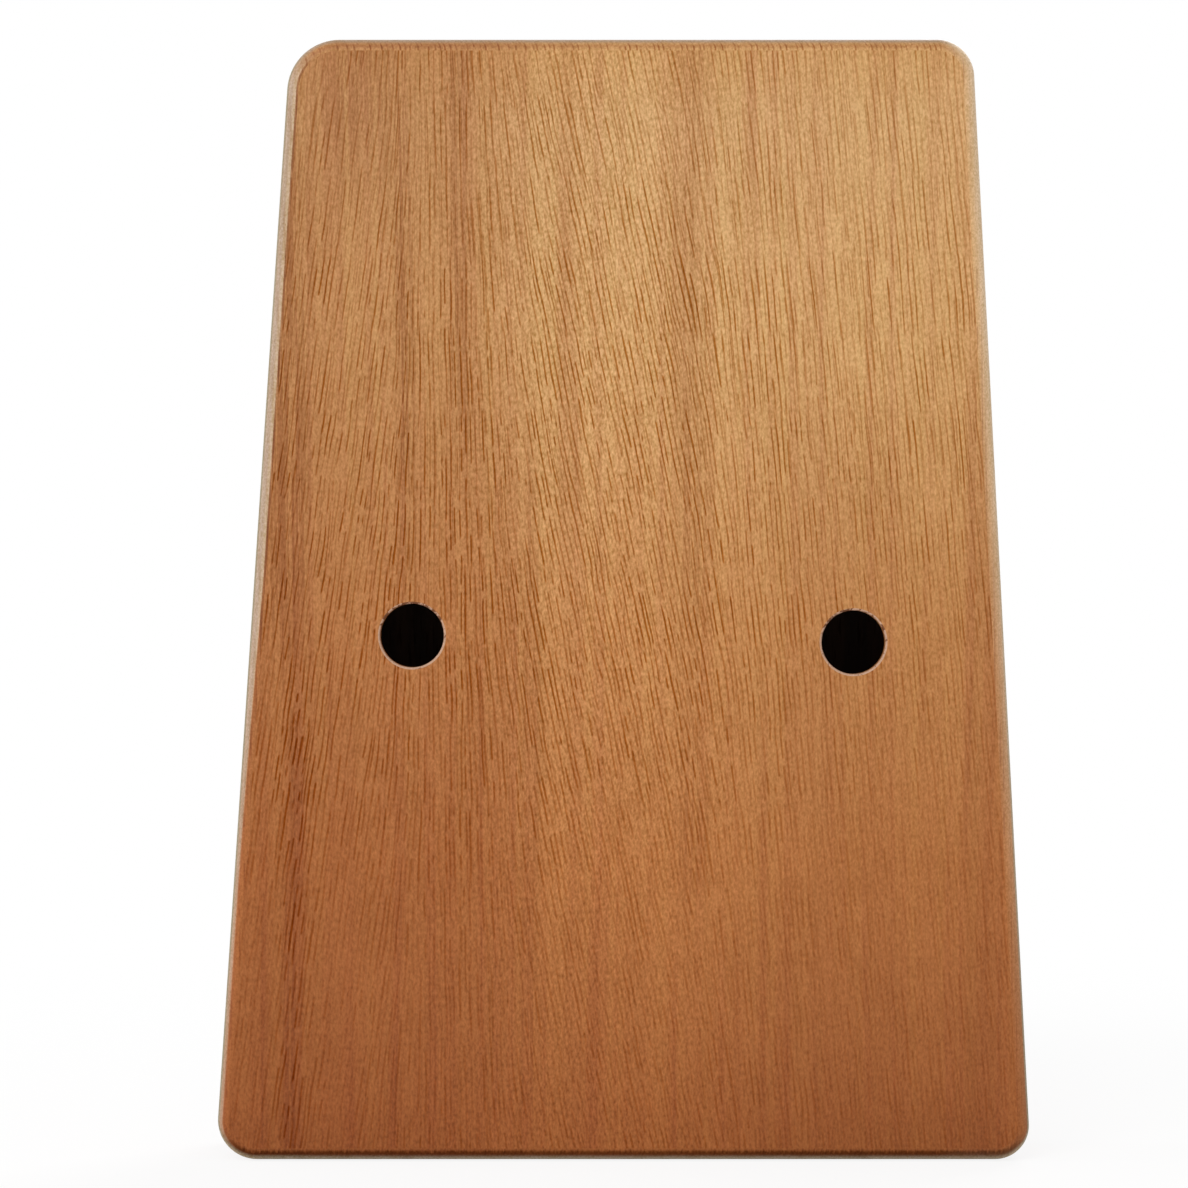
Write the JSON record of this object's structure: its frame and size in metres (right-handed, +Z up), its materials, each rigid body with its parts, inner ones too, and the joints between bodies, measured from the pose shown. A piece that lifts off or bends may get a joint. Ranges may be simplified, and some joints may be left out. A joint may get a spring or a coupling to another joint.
{
  "type": "kalimba",
  "caption": "Kalimba: hollow tapered wooden box with a front sound hole and rear finger holes, carrying a bridge whose pressure bar holds a row of sprung steel tines to pluck.",
  "frame": {"origin": "middle of the foot end's flat face, at half the width there and half the box's depth", "axes": "+Z up the box from its wide foot end to its narrow head end, +Y out of the playing side where the tines are, +X to the left of a player who faces the tines"},
  "size_m": [0.134, 0.043, 0.185],
  "materials": {
    "box_wood": "satin oiled, open straight grain with dark pores",
    "block_wood": "raw, planed",
    "bridge_wood": "satin oiled, dark",
    "saddle_steel": "drawn round rod, satin",
    "bar_plating": "bright nickel plating",
    "screw_steel": "bright nickel plating",
    "spring_steel": "polished along the blade"
  },
  "bodies": {
    "root": {"back_board": "box_wood", "front_board": "box_wood", "left_side": "box_wood", "right_side": "box_wood", "head_block": "box_wood", "tail_block": "box_wood", "screw_block": "block_wood", "bridge_base": "bridge_wood", "front_saddle_rod": "saddle_steel", "rear_saddle_rod": "saddle_steel", "pressure_bar": "bar_plating", "bar_screw_1": "screw_steel", "bar_screw_2": "screw_steel", "bar_screw_3": "screw_steel", "bar_screw_4": "screw_steel"},
    "tine_01": {"tine_01": "spring_steel"},
    "tine_02": {"tine_02": "spring_steel"},
    "tine_03": {"tine_03": "spring_steel"},
    "tine_04": {"tine_04": "spring_steel"},
    "tine_05": {"tine_05": "spring_steel"},
    "tine_06": {"tine_06": "spring_steel"},
    "tine_07": {"tine_07": "spring_steel"},
    "tine_08": {"tine_08": "spring_steel"},
    "tine_09": {"tine_09": "spring_steel"},
    "tine_10": {"tine_10": "spring_steel"},
    "tine_11": {"tine_11": "spring_steel"},
    "tine_12": {"tine_12": "spring_steel"},
    "tine_13": {"tine_13": "spring_steel"},
    "tine_14": {"tine_14": "spring_steel"},
    "tine_15": {"tine_15": "spring_steel"},
    "tine_16": {"tine_16": "spring_steel"},
    "tine_17": {"tine_17": "spring_steel"}
  },
  "joints": [
    {"name": "tine_01_pluck", "type": "hinge", "parent": "root", "child": "tine_01", "pos_m": [0.04746, 0.02225, 0.14], "axis": [-1, 0, 0], "range_deg": [-1, 2], "stiffness_Nm_per_rad": 5.12},
    {"name": "tine_02_pluck", "type": "hinge", "parent": "root", "child": "tine_02", "pos_m": [0.04166, 0.02225, 0.14], "axis": [-1, 0, 0], "range_deg": [-1, 2], "stiffness_Nm_per_rad": 4.7},
    {"name": "tine_03_pluck", "type": "hinge", "parent": "root", "child": "tine_03", "pos_m": [0.03586, 0.02225, 0.14], "axis": [-1, 0, 0], "range_deg": [-1, 2], "stiffness_Nm_per_rad": 4.18},
    {"name": "tine_04_pluck", "type": "hinge", "parent": "root", "child": "tine_04", "pos_m": [0.03006, 0.02225, 0.14], "axis": [-1, 0, 0], "range_deg": [-1, 2], "stiffness_Nm_per_rad": 3.84},
    {"name": "tine_05_pluck", "type": "hinge", "parent": "root", "child": "tine_05", "pos_m": [0.02426, 0.02225, 0.14], "axis": [-1, 0, 0], "range_deg": [-1, 2], "stiffness_Nm_per_rad": 3.42},
    {"name": "tine_06_pluck", "type": "hinge", "parent": "root", "child": "tine_06", "pos_m": [0.01846, 0.02225, 0.14], "axis": [-1, 0, 0], "range_deg": [-1, 2], "stiffness_Nm_per_rad": 3.13},
    {"name": "tine_07_pluck", "type": "hinge", "parent": "root", "child": "tine_07", "pos_m": [0.01266, 0.02225, 0.14], "axis": [-1, 0, 0], "range_deg": [-1, 2], "stiffness_Nm_per_rad": 2.79},
    {"name": "tine_08_pluck", "type": "hinge", "parent": "root", "child": "tine_08", "pos_m": [0.00686, 0.02225, 0.14], "axis": [-1, 0, 0], "range_deg": [-1, 2], "stiffness_Nm_per_rad": 2.56},
    {"name": "tine_09_pluck", "type": "hinge", "parent": "root", "child": "tine_09", "pos_m": [0.00106, 0.02225, 0.14], "axis": [-1, 0, 0], "range_deg": [-1, 2], "stiffness_Nm_per_rad": 2.42},
    {"name": "tine_10_pluck", "type": "hinge", "parent": "root", "child": "tine_10", "pos_m": [-0.00474, 0.02225, 0.14], "axis": [-1, 0, 0], "range_deg": [-1, 2], "stiffness_Nm_per_rad": 2.71},
    {"name": "tine_11_pluck", "type": "hinge", "parent": "root", "child": "tine_11", "pos_m": [-0.01054, 0.02225, 0.14], "axis": [-1, 0, 0], "range_deg": [-1, 2], "stiffness_Nm_per_rad": 2.96},
    {"name": "tine_12_pluck", "type": "hinge", "parent": "root", "child": "tine_12", "pos_m": [-0.01634, 0.02225, 0.14], "axis": [-1, 0, 0], "range_deg": [-1, 2], "stiffness_Nm_per_rad": 3.32},
    {"name": "tine_13_pluck", "type": "hinge", "parent": "root", "child": "tine_13", "pos_m": [-0.02214, 0.02225, 0.14], "axis": [-1, 0, 0], "range_deg": [-1, 2], "stiffness_Nm_per_rad": 3.62},
    {"name": "tine_14_pluck", "type": "hinge", "parent": "root", "child": "tine_14", "pos_m": [-0.02794, 0.02225, 0.14], "axis": [-1, 0, 0], "range_deg": [-1, 2], "stiffness_Nm_per_rad": 3.95},
    {"name": "tine_15_pluck", "type": "hinge", "parent": "root", "child": "tine_15", "pos_m": [-0.03374, 0.02225, 0.14], "axis": [-1, 0, 0], "range_deg": [-1, 2], "stiffness_Nm_per_rad": 4.43},
    {"name": "tine_16_pluck", "type": "hinge", "parent": "root", "child": "tine_16", "pos_m": [-0.03954, 0.02225, 0.14], "axis": [-1, 0, 0], "range_deg": [-1, 2], "stiffness_Nm_per_rad": 4.83},
    {"name": "tine_17_pluck", "type": "hinge", "parent": "root", "child": "tine_17", "pos_m": [-0.04534, 0.02225, 0.14], "axis": [-1, 0, 0], "range_deg": [-1, 2], "stiffness_Nm_per_rad": 5.43}
  ]
}
